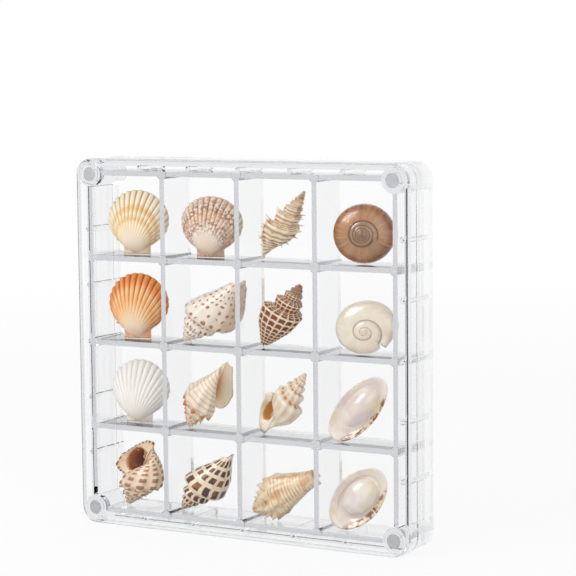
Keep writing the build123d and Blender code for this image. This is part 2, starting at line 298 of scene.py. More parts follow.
def smooth(value, low, high):
    """0 below low, 1 above high, and smooth between."""
    share = min(1, max(0, (value - low) / (high - low)))
    return share * share * (3 - 2 * share)


def bump_at(value, middle, width):
    """A rounded hump, 1 at its middle."""
    return exp(-(((value - middle) / width) ** 2))


def bend_grid(bm, columns, rows, rule):
    """Adds a grid whose rule turns a column and a row into a place, a growth and a side."""
    growth = bm.verts.layers.float.get("growth") or bm.verts.layers.float.new("growth")
    side = bm.verts.layers.float.get("side") or bm.verts.layers.float.new("side")
    made = bmesh.ops.create_grid(bm, x_segments=columns, y_segments=rows, size=0.5)["verts"]
    for vert in made:
        column = round((vert.co.x + 0.5) * columns)
        row = round((vert.co.y + 0.5) * rows)
        vert.co, vert[growth], vert[side] = rule(column, row)
    return made


def corners(bm):
    """The lowest and the highest corner of a mesh."""
    spans = [[vert.co[axis] for vert in bm.verts] for axis in range(3)]
    return Vector([min(span) for span in spans]), Vector([max(span) for span in spans])


def settle(bm, node):
    """Sizes a shell to the space its solid takes, and stands it on the same floor."""
    low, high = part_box(node)
    least, most = corners(bm)
    room = high - low - 2 * Vector((HAIR, HAIR, HAIR))
    wide = room.x / (most.x - least.x)
    tall = room.z / (most.z - least.z)
    deep = min(room.y / (most.y - least.y), (wide + tall) / 2)
    bmesh.ops.translate(bm, verts=bm.verts, vec=-(least + most) / 2)
    bmesh.ops.scale(bm, verts=bm.verts, vec=(wide, deep, tall))
    bmesh.ops.translate(bm, verts=bm.verts, vec=(low + high) / 2)


def show(bm, node, material):
    """Turns a settled mesh into the piece that stands for a node and rides on the case."""
    mesh = bpy.data.meshes.new(node + "_shell")
    bm.to_mesh(mesh)
    bm.free()
    mesh.shade_smooth()
    mesh.materials.append(material)
    piece = bpy.data.objects.new(node + "_shell", mesh)
    bpy.context.scene.collection.objects.link(piece)
    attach(piece, "case")
    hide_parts(node)
    print(node, "has", len(mesh.polygons), "faces")
    return piece


# %% [markdown]
# ## Scallops
#
# A scallop's valve grows outwards from its hinge, so every rib is a ray and every growth band runs along the
# margin. The grid has the rays one way and the growth the other. A dome lifts it, a wave across the rays
# makes the ribs, which rise as they near the margin, and the margin itself steps in and out with them. Two
# flat ears stand beside the hinge. Solidify gives the valve its wall.


# %% Scallop valves
@dataclass
class Fan:
    """A scallop: millimetres, its ribs, and how deep the grooves between them are."""

    node: str
    width: float
    height: float
    widest: float
    ear_width: float
    ribs: int
    groove: float
    paint: object
    smooth_until: float = 0.3


FAN_SPREAD = 140
FAN_BULGE = 10.5
FAN_RAYS = 220
FAN_GROWTH = 72
FAN_LOWER = 16.0
HINGE_LEVEL = 0.9
EAR_HEIGHT = 8.4
FAN_TURN = 12
VALVE_WALL = 0.9
EAR_COLUMNS = 40
EAR_ROWS = 10


def valve_rule(fan):
    """Where a column and a row of the grid lie on the valve."""

    def rule(column, row):
        across = 2 * column / FAN_RAYS - 1
        growth = 0.04 + 0.96 * row / FAN_GROWTH
        turn = radians(FAN_SPREAD * across)
        crest = 0.5 + 0.5 * cos(tau * fan.ribs * (across + 1) / 2 + pi)
        crest = crest**0.7
        strong = smooth(growth, fan.smooth_until * 0.3, fan.smooth_until * 1.6)
        reach = growth * (1 - 0.02 * (1 - crest) * growth**3)
        reach *= 1 + 0.004 * noise.noise(Vector((across * 3, growth * 5, fan.width)))
        top = fan.height - fan.widest if cos(turn) > 0 else FAN_LOWER
        x = reach * fan.width / 2 * sin(turn)
        z = HINGE_LEVEL + reach * (fan.widest + top * cos(turn) - HINGE_LEVEL)
        dome = FAN_BULGE * sqrt(max(0, 1 - across**2)) * max(0, sin(pi * growth**0.6)) ** 0.75
        fine = 0.10 * sin(60 * growth + 3 * noise.noise(Vector((across * 2, growth * 8, 0)))) * growth
        y = fan.groove * strong * growth * (1 - crest) * (1 - across**2) ** 0.4 + fine * 0.5 - dome
        return Vector((x, y, z)), growth, across * 0.5 + 0.5

    return rule


def ear_rule(fan):
    """Where a column and a row of the grid lie on the two ears."""

    def rule(column, row):
        across = 2 * column / EAR_COLUMNS - 1
        share = row / EAR_ROWS
        x = across * fan.ear_width / 2 * (0.93 + 0.09 * share - 0.05 * sin(pi * share))
        ridge = 0.16 * sin(16 * share + 5 * abs(across))
        y = -1.6 - 1.2 * (1 - abs(across)) + ridge
        return Vector((x, y, share * EAR_HEIGHT)), 0.12 + 0.3 * abs(across), 0.5 + 0.5 * across

    return rule


def scallop(fan):
    """One valve with its ears."""
    bm = bmesh.new()
    bend_grid(bm, FAN_RAYS, FAN_GROWTH, valve_rule(fan))
    bend_grid(bm, EAR_COLUMNS, EAR_ROWS, ear_rule(fan))
    bmesh.ops.solidify(bm, geom=bm.faces[:], thickness=-VALVE_WALL)
    bmesh.ops.recalc_face_normals(bm, faces=bm.faces[:])
    bmesh.ops.rotate(bm, verts=bm.verts, matrix=Matrix.Rotation(radians(FAN_TURN), 3, "Z"))
    settle(bm, fan.node)
    return show(bm, fan.node, fan.paint)


def scallop_paint(name, ribs, rib_stops, groove_stops, umbo):
    """Rays and growth bands: one row of colours for the ribs and one for the grooves between them. The
    grooves' row is darker, partly their own colour and partly painted shade.
    """
    paint = Paint(name)
    growth = paint.stored("growth")
    side = paint.stored("side")
    cloud = paint.noise(260, 4)
    uneven = growth + (cloud - 0.5) * 0.06
    crest = (side * -1 + 1).wave(ribs) * -1 + 1
    ribs_colour = paint.ramp(uneven, *rib_stops)
    grooves = paint.ramp(uneven, *groove_stops)
    worn = 1 - growth.step(umbo * 0.6, umbo * 1.3)
    # Painted shade: the grooves get the darker row, partly their own colour and partly shade painted into
    # them.
    colour = paint.blend(crest.step(0.2, 0.9), grooves, ribs_colour)
    colour = paint.blend(worn * 0.85, colour, ribs_colour)
    paint.set(Base_Color=colour, Roughness=cloud * 0.2 + 0.38, Coat_Weight=0.15, Coat_Roughness=0.3)
    fine = paint.noise(900, 3)
    paint.bump(fine, 0.00012, 0.35)
    return paint


# %% The four scallops
def warm_scallop():
    """Cream and yellow, with olive grooves and two darker growth bands. The grooves' olive is partly their
    own colour and partly painted shade.
    """
    ribs = [
        (0.0, (0.96, 0.86, 0.74)), (0.25, (0.98, 0.92, 0.83)),
        (0.50, (0.98, 0.90, 0.77)), (0.56, (0.93, 0.79, 0.58)),
    ]
    ribs += [
        (0.64, (0.98, 0.91, 0.78)), (0.73, (0.93, 0.79, 0.58)),
        (0.82, (0.98, 0.93, 0.83)), (1.0, (0.98, 0.93, 0.84)),
    ]
    grooves = [
        (0.0, (0.95, 0.83, 0.70)), (0.3, (0.92, 0.79, 0.62)),
        (0.55, (0.80, 0.62, 0.38)), (1.0, (0.84, 0.68, 0.44)),
    ]
    return scallop_paint("cream_valve", 22, ribs, grooves, 0.3)


def speckled_scallop():
    """Beige and pink, with rows of brown speckles along its growth bands."""
    ribs = [
        (0.0, (0.93, 0.82, 0.72)), (0.2, (0.94, 0.86, 0.78)),
        (0.45, (0.96, 0.91, 0.86)), (0.7, (0.92, 0.81, 0.71)),
    ]
    ribs += [(0.85, (0.95, 0.89, 0.82)), (1.0, (0.93, 0.85, 0.77))]
    # The grooves' brown is partly their own colour and partly painted shade.
    grooves = [
        (0.0, (0.87, 0.71, 0.58)), (0.2, (0.72, 0.50, 0.37)),
        (0.75, (0.74, 0.54, 0.42)), (1.0, (0.84, 0.70, 0.58)),
    ]
    paint = scallop_paint("speckled_valve", 22, ribs, grooves, 0.08)
    growth, side = paint.stored("growth"), paint.stored("side")
    grain = paint.noise(1.0, 2, 0.6, paint.point(side * 46, growth * 20)).step(0.42, 0.62)
    middle = 1 - ((growth - 0.54) * 5).math("ABSOLUTE").step(0.1, 1.0)
    margin = 1 - ((growth - 0.82) * 7).math("ABSOLUTE").step(0.3, 1.0)
    bands = middle.math("MAXIMUM", margin)
    speckle = grain * (bands * 0.65 + 0.35 * growth.step(0.15, 0.7))
    under = Value(paint, paint.surface.inputs["Base Color"].links[0].from_socket)
    paint.set(Base_Color=paint.blend(speckle * 0.85, under, (0.60, 0.34, 0.15)))
    return paint


def orange_scallop():
    """Strong orange ribs on a peach hinge."""
    ribs = [
        (0.0, (0.97, 0.82, 0.68)), (0.25, (0.98, 0.89, 0.79)),
        (0.45, (0.97, 0.82, 0.64)), (0.62, (0.96, 0.74, 0.50)),
    ]
    ribs += [(0.75, (0.97, 0.78, 0.56)), (0.9, (0.91, 0.58, 0.28)), (1.0, (0.93, 0.63, 0.34))]
    # The grooves' deeper orange is partly their own colour and partly painted shade.
    grooves = [
        (0.0, (0.95, 0.74, 0.56)), (0.35, (0.90, 0.58, 0.32)),
        (0.65, (0.74, 0.36, 0.12)), (1.0, (0.78, 0.42, 0.16)),
    ]
    return scallop_paint("orange_valve", 20, ribs, grooves, 0.25)


def white_scallop():
    """White, with a trace of peach at the hinge, and grooves painted greyer than the ribs as painted shade.
    """
    ribs = [
        (0.0, (0.96, 0.90, 0.84)), (0.2, (0.97, 0.94, 0.90)),
        (0.5, (0.97, 0.955, 0.93)), (1.0, (0.97, 0.955, 0.93)),
    ]
    # Past the peach hinge the grooves are greyer than the ribs: painted shade.
    grooves = [
        (0.0, (0.95, 0.88, 0.81)), (0.35, (0.93, 0.90, 0.86)),
        (0.8, (0.90, 0.87, 0.82)), (1.0, (0.93, 0.91, 0.87)),
    ]
    return scallop_paint("white_valve", 20, ribs, grooves, 0.2)


fans = [
    Fan("cream_scallop", 36.0, 36.5, 20.0, 18.4, 22, 1.3, warm_scallop().material, smooth_until=0.2),
    Fan("speckled_scallop", 35.2, 34.0, 19.6, 18.2, 22, 1.2, speckled_scallop().material, smooth_until=0.15),
    Fan("orange_scallop", 35.4, 37.4, 20.6, 18.4, 20, 1.5, orange_scallop().material, smooth_until=0.2),
    Fan("white_scallop", 34.3, 35.9, 20.0, 18.0, 20, 1.4, white_scallop().material, smooth_until=0.2),
]
for fan in fans:
    scallop(fan)

# %% [markdown]
# ## Coiled shells
#
# A snail keeps its shape as it grows: each turn is a smaller copy of the next, so the whole shell is one
# closed outline carried round the axis while it shrinks towards the apex. The rows of the grid go round that
# outline and the columns go round the axis. The first columns turn back inside the lip, which gives the
# opening its wall. Ribs run across the whorl, cords run along it and knobs stand where the two meet, and
# each is a hump pushed out from the outline.

# %% Growing a coil


@dataclass
class Coil:
    """A coiled shell in millimetres, with levels as shares of its length, measured from the apex."""

    node: str
    length: float
    radius: float
    lean: float
    shoulder: float
    spire: float
    paint: object
    canal: float = 0.12
    ratio: float = 0.64
    opening: float = 180.0
    hand: int = 1
    whorls: float = 5.4
    ribs: int = 10
    rib_height: float = 0.0
    cords: int = 8
    cord_height: float = 0.0
    knob_height: float = 0.0
    knob_side: float = 0.22
    flare: float = 0.0
    angular: float = 0.5
    lip_beads: int = 0
    spines: float = 0
    mouth: tuple = ()
    belly: float = 0.0
    blunt: float = 0.0


STEPS_PER_WHORL = 72
LIP_STEPS = 26
OUTER_ROWS = 40
INNER_ROWS = 10
LIP_WALL = 0.09


def curve_through(points, count):
    """Evenly spaced points on a smooth open curve through a few."""
    dense = []
    for index in range(len(points) - 1):
        a, b = points[max(0, index - 1)], points[index]
        c, d = points[index + 1], points[min(len(points) - 1, index + 2)]
        for step in range(12):
            t = step / 12
            rise = (c - a) * t + (2 * a - 5 * b + 4 * c - d) * t**2 + (3 * b - a - 3 * c + d) * t**3
            dense.append(b + rise / 2)
    dense.append(points[-1])
    reach = [0.0]
    for here, there in zip(dense, dense[1:]):
        reach.append(reach[-1] + (there - here).length)
    spaced, index = [], 0
    for step in range(count + 1):
        target = reach[-1] * step / count
        while index < len(dense) - 2 and reach[index + 1] < target:
            index += 1
        share = (target - reach[index]) / max(1e-9, reach[index + 1] - reach[index])
        spaced.append(dense[index].lerp(dense[index + 1], share))
    return spaced


def whorl_outline(coil):
    """The closed outline of the opening: shoulder, belly and canal, then back up along the core."""
    k, left = coil.shoulder, 1 - coil.shoulder
    level = (coil.spire / coil.ratio - k) / left
    suture = coil.ratio * (1 - 0.36 * smooth(level, 0, 1.0)) - 0.05
    shelf = coil.spire + (k - coil.spire) * (1 - coil.angular)
    outer = [(suture, coil.spire), (0.45 + 0.40 * suture, shelf), (1, k), (0.97, k + 0.16 * left)]
    for share, fullness in ((0.42, 0.75), (0.68, 0.36), (0.88, 0.09), (1, 0)):
        outer.append((coil.canal + fullness ** (1 / (1 + coil.belly)) * (1 - coil.canal), k + share * left))
    inner = [(coil.canal, 1), (coil.canal * 0.3, 0.985), (0.08, k + 0.75 * left), (0.14, k + 0.4 * left)]
    inner += [(0.2, k), (suture * 0.8, coil.spire * 1.01), (suture, coil.spire)]
    rows = curve_through([Vector(point) for point in outer], OUTER_ROWS)
    return rows + curve_through([Vector(point) for point in inner], INNER_ROWS)[1:]


def relief(coil, turn, side):
    """How far the surface stands out at a turn and a side, as a share of the radius."""
    window = smooth(side, 0.0, 0.12) * (1 - smooth(side, 0.86, 1.0))
    crest = 0.5 + 0.5 * cos(tau * coil.ribs * turn)
    ribs = coil.rib_height * crest * smooth(turn, 0.0, 0.1)
    ribs *= 1 - smooth(side, 0.5, 0.85)
    cords = coil.cord_height * (0.5 + 0.5 * cos(tau * coil.cords * side)) ** 1.5
    knobs = coil.knob_height * crest**2 * bump_at(side, coil.knob_side, 0.075)
    knobs *= smooth(turn, 0.0, 0.07)
    knobs += 0.4 * coil.knob_height * crest**2 * bump_at(side, coil.knob_side + 0.2, 0.07)
    lip = coil.flare * exp(-((turn / 0.07) ** 1.4)) * smooth(side, 0.05, 0.3)
    beads = 0.0
    if coil.lip_beads:
        beads = 0.02 * (0.5 + 0.5 * cos(tau * coil.lip_beads * side)) * bump_at(turn, 0.015, 0.03)
    growth = 0.004 * sin(tau * 46 * turn + 2 * sin(9 * side))
    grain = 0.008 * noise.noise(Vector((turn * 14, side * 9, coil.length)))
    edge = lip * (1 - smooth(side, 0.9, 1.0))
    return (ribs + cords + knobs + beads) * window + edge + growth * window + grain * window


def coil_rule(coil, rows):
    """Where a column and a row of the grid lie on the coil."""
    count = len(rows) - 1

    def rule(column, row):
        inside = column < LIP_STEPS
        turn = abs(column - LIP_STEPS) / STEPS_PER_WHORL
        size = coil.ratio**turn
        last = 1 - smooth(turn, 0.8, 1.1)
        here, after, before = rows[row % count], rows[(row + 1) % count], rows[row - 1 if row else count - 1]
        side = row / OUTER_ROWS
        along = Vector(((after.x - before.x) * coil.radius, (after.y - before.y) * coil.length))
        outward = Vector((along.y, -along.x)).normalized()
        radius, level = here.x * coil.radius, here.y * coil.length
        rise = relief(coil, turn, side) if side < 1 else 0.0
        depth = min(1, (LIP_STEPS - column) / 3) if inside else 0
        if inside:
            rise = rise * (1 - 0.5 * smooth(turn, 0.0, 0.12)) - (0 if coil.mouth else LIP_WALL * depth)
        radius += outward.x * rise * coil.radius
        level += outward.y * rise * coil.radius
        if inside and coil.mouth:
            aim = atan2(here.y - coil.mouth[1], here.x - coil.mouth[0])
            hole_radius = (coil.mouth[0] + coil.mouth[2] * cos(aim)) * coil.radius
            hole_level = (coil.mouth[1] + coil.mouth[3] * sin(aim)) * coil.length
            radius += (hole_radius - radius) * depth
            level += (hole_level - level) * depth
        radius = max(0.015 * coil.radius, radius)
        level *= 1 + coil.blunt * last * smooth(here.y, 0.55, 1.0) * (1 / size - 1)
        angle = radians(coil.opening) + coil.hand * tau * turn
        place = Vector((radius * cos(angle), radius * sin(angle), -level)) * size
        lip = coil.mouth and depth < 1
        return place, -turn if inside and not lip else turn * (not inside) + 0.07 * inside, side

    return rule


def spine_row(bm, coil, rows):
    """Thin spines that stand out from the crests of the last turns."""
    growth, side = bm.verts.layers.float["growth"], bm.verts.layers.float["side"]
    for index in range(int(coil.ribs * 1.8)):
        turn = (index + 0.02) / coil.ribs
        size = coil.ratio**turn
        angle = radians(coil.opening) + coil.hand * tau * turn
        for share, reach in ((0.18, 1.0), (0.36, 0.75), (0.54, 0.7), (0.72, 0.5)):
            if turn > 1 and share > 0.2:
                continue
            here = rows[round(share * OUTER_ROWS)]
            foot = Vector((here.x * coil.radius, 0, -here.y * coil.length)) * size
            aim = Vector((1, 0, 0.55 - 1.3 * share)).normalized()
            long = coil.spines * reach * size**0.6
            facing = aim.to_track_quat("Z", "Y").to_matrix().to_4x4()
            spot = Matrix.Translation(foot + aim * long * 0.4) @ facing
            spot = Matrix.Rotation(angle, 4, "Z") @ spot
            made = bmesh.ops.create_cone(
                bm, cap_ends=True, segments=8, radius1=0.7 * size**0.5, radius2=0.12, depth=long, matrix=spot
            )["verts"]
            for vert in made:
                vert[growth], vert[side] = turn, share


def coiled(coil):
    """One coiled shell, grown, leant over and settled."""
    rows = whorl_outline(coil)
    columns = LIP_STEPS + round(coil.whorls * STEPS_PER_WHORL)
    bm = bmesh.new()
    bend_grid(bm, columns, len(rows) - 1, coil_rule(coil, rows))
    bmesh.ops.remove_doubles(bm, verts=bm.verts, dist=0.0005)
    bmesh.ops.holes_fill(bm, edges=bm.edges, sides=0)
    bmesh.ops.recalc_face_normals(bm, faces=bm.faces)
    if coil.spines:
        spine_row(bm, coil, rows)
    bmesh.ops.rotate(bm, verts=bm.verts, matrix=Matrix.Rotation(radians(coil.lean), 3, "Y"))
    settle(bm, coil.node)
    return show(bm, coil.node, coil.paint)


def coil_paint(name, base, dark, gloss=0.3):
    """A coil's first coat: a base colour clouded with a darker one, and its growth lines."""
    paint = Paint(name)
    turn, side = paint.stored("growth"), paint.stored("side")
    cloud = paint.noise(220, 4)
    lines = paint.noise(1.0, 2, 0.5, paint.point(turn * 60, side * 5))
    colour = paint.blend((cloud * 0.6 + lines * 0.4).step(0.35, 0.75) * 0.5, base, dark)
    paint.set(Roughness=cloud * 0.2 + 0.3, Coat_Weight=gloss, Coat_Roughness=0.15)
    paint.bump(lines + paint.noise(1500, 3) * 0.5, 0.00012, 0.3)
    return paint, turn, side, colour


def finish_coil(paint, turn, colour, inside):
    """Paints the inner wall of the opening, and hands over the material."""
    paint.set(Base_Color=paint.blend(1 - turn.step(-0.004, 0.004), colour, inside))
    return paint.material


print("coils ready")

# %% [markdown]
# ## The eight coils
#
# One rule grows them all, so what tells them apart is their sizes, how strong their ribs, cords and knobs
# are, and their paint. A pattern follows the growth: a value along the turn and a value across the whorl
# place every spot, line and blotch, as the animal's own mantle does.


# %% Murex and conches
def murex_paint():
    """Cream, with brown lines along the whorls and blotches between the spines."""
    paint, turn, side, colour = coil_paint("murex", (0.97, 0.91, 0.81), (0.92, 0.80, 0.64))
    lines = 1 - side.wave(11).step(0.2, 0.55)
    blotch = paint.noise(170, 3).step(0.5, 0.62)
    colour = paint.blend(lines * (blotch * 0.4 + 0.6), colour, (0.64, 0.40, 0.18))
    colour = paint.blend(blotch * 0.4, colour, (0.66, 0.44, 0.22))
    return finish_coil(paint, turn, colour, (0.80, 0.60, 0.42))


def spotted_paint():
    """White, with rows of orange-brown spots and a tan lip."""
    paint, turn, side, colour = coil_paint("spotted", (0.96, 0.93, 0.89), (0.90, 0.82, 0.72))
    drift = paint.noise(1.0, 1, 0.5, paint.point(turn * 9, side * 6)) * 0.06
    dots = ((turn + drift).wave(19) * (side + drift).wave(11)).step(0.4, 0.6)
    kept = paint.noise(1.0, 1, 0.5, paint.point(turn * 17, side * 9)).step(0.42, 0.5)
    colour = paint.blend(dots * kept, colour, (0.70, 0.45, 0.20))
    colour = paint.blend((1 - turn.step(0.08, 0.35)) * 0.5, colour, (0.86, 0.70, 0.52))
    return finish_coil(paint, turn, colour, (0.93, 0.84, 0.74))


def whelk_paint():
    """Dark brown squares between cream cords and ribs, and a tan apex."""
    paint, turn, side, colour = coil_paint("whelk", (0.97, 0.90, 0.79), (0.90, 0.78, 0.62))
    ribs = turn.wave(15).step(0.78, 0.96)
    cords = side.wave(12).step(0.7, 0.92)
    squares = (1 - ribs * 0.8) * (1 - cords * 0.9)
    brown = paint.blend(paint.noise(300, 2), (0.42, 0.20, 0.08), (0.60, 0.34, 0.16))
    colour = paint.blend(squares, colour, brown)
    colour = paint.blend(turn.step(2.6, 3.6) * 0.6, colour, (0.62, 0.42, 0.26))
    return finish_coil(paint, turn, colour, (0.62, 0.42, 0.28))


def peach_paint():
    """Cream, with orange-brown spots on the knobs, brown lines and a peach lip."""
    paint, turn, side, colour = coil_paint("peach", (0.97, 0.92, 0.84), (0.94, 0.83, 0.70))
    knobs = turn.wave(8) ** 2 * (1 - ((side - 0.2) * 7).math("ABSOLUTE").step(0.0, 1.0))
    lines = (side + 0.01).wave(13) ** 4 * side.step(0.2, 0.3)
    colour = paint.blend(lines * 0.5, colour, (0.76, 0.54, 0.32))
    spots = knobs.step(0.1, 0.45) * paint.noise(330, 2).step(0.3, 0.45)
    colour = paint.blend(spots * 0.95, colour, (0.80, 0.50, 0.20))
    colour = paint.blend(1 - turn.step(0.01, 0.05), colour, (0.97, 0.88, 0.80))
    deep = paint.blend((turn * -1).step(0.02, 0.14), (1.0, 0.94, 0.85), (0.98, 0.78, 0.55))
    return finish_coil(paint, turn, colour, deep)


def spindle_paint():
    """Cream, with orange-brown bands above and below each seam and an orange opening."""
    paint, turn, side, colour = coil_paint("spindle", (0.97, 0.93, 0.86), (0.94, 0.85, 0.73))
    band = 1 - ((side - 0.1) * 9).math("ABSOLUTE").step(0.3, 1.0)
    low = 1 - ((side - 0.42) * 9).math("ABSOLUTE").step(0.2, 1.0)
    broken = (1 - turn.wave(10).step(0.35, 0.85) * 0.8)
    colour = paint.blend(band * broken * 0.9, colour, (0.82, 0.57, 0.30))
    colour = paint.blend(low * broken * 0.4, colour, (0.86, 0.66, 0.42))
    return finish_coil(paint, turn, colour, (0.90, 0.68, 0.38))


def open_paint():
    """Brown checks on cream, knobs, a dark-spotted lip and a red-brown opening."""
    paint, turn, side, colour = coil_paint("open", (0.96, 0.88, 0.78), (0.88, 0.74, 0.60))
    checks = turn.wave(9).step(0.25, 0.6) * side.wave(9).step(0.3, 0.65) * turn.step(0.09, 0.13)
    colour = paint.blend(checks * 0.85, colour, (0.64, 0.41, 0.25))
    beads = (1 - turn.step(0.02, 0.06)) * side.wave(15).step(0.3, 0.6)
    colour = paint.blend(1 - turn.step(0.03, 0.08), colour, (0.94, 0.84, 0.70))
    colour = paint.blend(beads * 0.9, colour, (0.52, 0.30, 0.16))
    deep = paint.blend((turn * -1).step(0.01, 0.16), (0.82, 0.56, 0.38), (0.48, 0.22, 0.10))
    return finish_coil(paint, turn, colour, deep)


def volute_paint():
    """Cream, with rows of chocolate blocks."""
    paint, turn, side, colour = coil_paint("volute", (0.97, 0.91, 0.81), (0.92, 0.79, 0.63), 0.5)
    sway = paint.noise(1.0, 1, 0.4, paint.point(turn * 5, side * 9)) * 0.05
    columns = (turn + sway).wave(12).step(0.62, 0.8)
    dip = paint.noise(1.0, 1, 0.4, paint.point(turn * 9, side * 5)) * 0.04
    rows = (side + dip).wave(6).step(0.6, 0.78)
    blocks = (1 - columns) * (1 - rows)
    strength = paint.noise(1.0, 1, 0.4, paint.point(turn * 12, side * 6)).step(0.3, 0.5)
    brown = paint.blend(strength, (0.62, 0.41, 0.22), (0.36, 0.19, 0.09))
    colour = paint.blend(blocks, colour, brown)
    return finish_coil(paint, turn, colour, (0.88, 0.72, 0.54))


def knobbed_paint():
    """Pale, with fine brown lines round the middle, spots and a dotted seam."""
    paint, turn, side, colour = coil_paint("knobbed", (0.96, 0.89, 0.78), (0.90, 0.76, 0.58))
    broken = paint.noise(1.0, 2, 0.5, paint.point(turn * 12, side * 4)).step(0.35, 0.6)
    lines = (side + 0.01).wave(20) ** 3 * side.step(0.24, 0.34) * (1 - turn.step(0.9, 1.3))
    colour = paint.blend(lines * broken * 0.75, colour, (0.74, 0.52, 0.30))
    spots = paint.noise(150, 2).step(0.5, 0.62)
    colour = paint.blend(spots * 0.6, colour, (0.84, 0.62, 0.36))
    dots = turn.wave(18) ** 3 * (1 - ((side - 0.12) * 10).math("ABSOLUTE").step(0.2, 1.0))
    colour = paint.blend(dots * 0.9, colour, (0.60, 0.38, 0.22))
    return finish_coil(paint, turn, colour, (0.90, 0.72, 0.54))


coils = [
    Coil(
        "spiny_murex", 44, 8.5, 33, 0.58, 0.5, murex_paint(), ratio=0.72, whorls=8.0, ribs=8,
        rib_height=0.06, cords=11, cord_height=0.06, spines=4.4,
    ),
    Coil(
        "spotted_conch", 45, 13.4, 222, 0.47, 0.38, spotted_paint(), canal=0.2, opening=145, ribs=11,
        rib_height=0.02, cords=9, cord_height=0.012, knob_height=0.05, knob_side=0.2, flare=0.1,
        angular=0.75, blunt=0.5,
    ),
    Coil(
        "reticulated_whelk", 41, 12.0, 34, 0.56, 0.46, whelk_paint(), ratio=0.66, canal=0.2, opening=115,
        ribs=15, rib_height=0.06, cords=12, cord_height=0.04, belly=0.3, blunt=0.7,
    ),
    Coil(
        "peach_lipped_conch", 44, 10.8, 212, 0.45, 0.36, peach_paint(), opening=128, hand=-1, ribs=8,
        rib_height=0.06, cords=13, cord_height=0.012, knob_height=0.3, knob_side=0.2, flare=0.3,
        angular=0.7, blunt=0.4,
    ),
    Coil(
        "spindle_whelk", 43, 10.6, 37, 0.58, 0.5, spindle_paint(), ratio=0.68, whorls=7.0, hand=-1,
        ribs=10, rib_height=0.11, cords=12, cord_height=0.015, flare=0.12, belly=1.0,
        mouth=(0.56, 0.74, 0.31, 0.14),
    ),
    Coil(
        "open_murex", 39.8, 10.6, 199, 0.5, 0.38, open_paint(), ratio=0.6, belly=1.0, opening=0, ribs=9,
        rib_height=0.07, cords=9, cord_height=0.03, knob_height=0.18, knob_side=0.22, flare=0.1,
        angular=0.7, lip_beads=15, mouth=(0.53, 0.68, 0.37, 0.175),
    ),
    Coil(
        "chocolate_volute", 45, 12.4, 223, 0.5, 0.42, volute_paint(), opening=140, ribs=12,
        rib_height=0.015, cords=20, cord_height=0.006, angular=0.45, canal=0.18, blunt=0.5,
    ),
    Coil(
        "knobbed_conch", 46, 11.8, 240, 0.44, 0.34, knobbed_paint(), ratio=0.74, whorls=8, canal=0.42,
        blunt=1.0, opening=90, hand=-1, ribs=9, rib_height=0.05, cords=20, cord_height=0.012,
        knob_height=0.34, knob_side=0.2, flare=0.1, angular=0.8,
    ),
]
for coil in coils:
    coiled(coil)

# %% [markdown]
# ## Moon snails
#
# A moon snail is a coil too, but a round one: its outline is nearly a circle and shrinks to less than half
# with each turn, so the last whorl makes almost all of the shell. It lies with its apex to the front.


# %% Moon snails
@dataclass
class Moon:
    """A moon snail: its radius, how much it shrinks with each turn and where its lip points."""

    node: str
    radius: float
    ratio: float
    opening: float
    paint: object
    even: float = 0.0
    closes: float = 0.97
    tuck: float = 0.0
    whorls: int = 5


EVEN_RADIUS = 1.15
MOON_TILT = 18.0


def moon_rule(moon, rows):
    """Where a column and a row of the grid lie on a round coil."""

    def rule(column, row):
        inside = column < LIP_STEPS
        turn = abs(column - LIP_STEPS) / STEPS_PER_WHORL
        size = moon.ratio**turn * moon.radius
        outermost = 1 - smooth(turn, moon.closes, moon.closes + 0.03)
        fuller = moon.even * (EVEN_RADIUS * moon.radius / size - 1) * outermost
        angle = tau * row / rows
        thick = 0.5 - (LIP_WALL * min(1, (LIP_STEPS - column) / 3) if inside else 0)
        thick += 0.003 * sin(tau * 30 * turn)
        radius = 0.53 - thick * cos(angle) * (1.0 if cos(angle) < 0 else 0.96)
        level = 0.62 - 0.86 * thick * sin(angle)
        swirl = radians(moon.opening) + tau * turn
        tucked = moon.tuck * (1 - smooth(turn, 0.0, 0.3))
        size *= 1 + (fuller - tucked) * smooth(radius, 0.45, 1.0)
        place = Vector((radius * cos(swirl), radius * sin(swirl), -level)) * size
        return place, -turn if inside else turn, row / rows

    return rule


def moon_snail(moon):
    """One moon snail, grown, turned to the front and settled."""
    rows = 60
    bm = bmesh.new()
    bend_grid(bm, LIP_STEPS + moon.whorls * STEPS_PER_WHORL, rows, moon_rule(moon, rows))
    bmesh.ops.remove_doubles(bm, verts=bm.verts, dist=0.0005)
    bmesh.ops.holes_fill(bm, edges=bm.edges, sides=0)
    bmesh.ops.recalc_face_normals(bm, faces=bm.faces)
    face_front = Matrix.Rotation(radians(MOON_TILT), 3, "Z") @ Matrix.Rotation(pi / 2, 3, "X")
    bmesh.ops.rotate(bm, verts=bm.verts, matrix=face_front)
    settle(bm, moon.node)
    return show(bm, moon.node, moon.paint)


